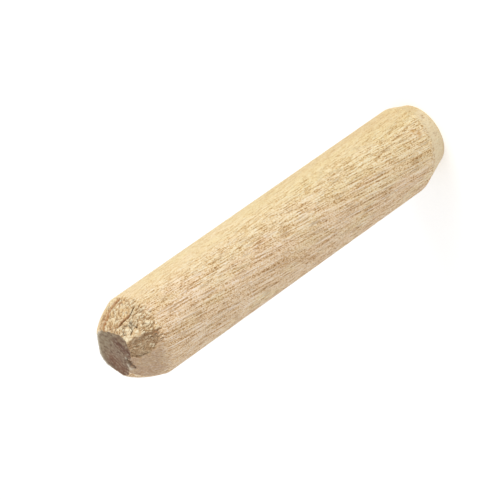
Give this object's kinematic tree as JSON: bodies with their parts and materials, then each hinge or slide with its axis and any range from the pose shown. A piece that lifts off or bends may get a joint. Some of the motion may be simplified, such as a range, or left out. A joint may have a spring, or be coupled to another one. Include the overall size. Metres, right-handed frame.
{
  "type": "dowel pin",
  "caption": "Straight round wooden dowel pin with a chamfered end each way, one end worn and torn, that joins two drilled panels.",
  "frame": {"origin": "centre of the turned body at the lower end face, which the pin stands on", "axes": "+Z along the pin, from the broad lower end to the worn upper end; the torn side of the upper end faces between +X and -Y"},
  "size_m": [0.008, 0.008, 0.04],
  "materials": {
    "turned_wood": "bare turned hardwood, unsealed, worn and slightly dirty at one end"
  },
  "bodies": {
    "root": {"dowel_pin": "turned_wood"}
  },
  "joints": []
}
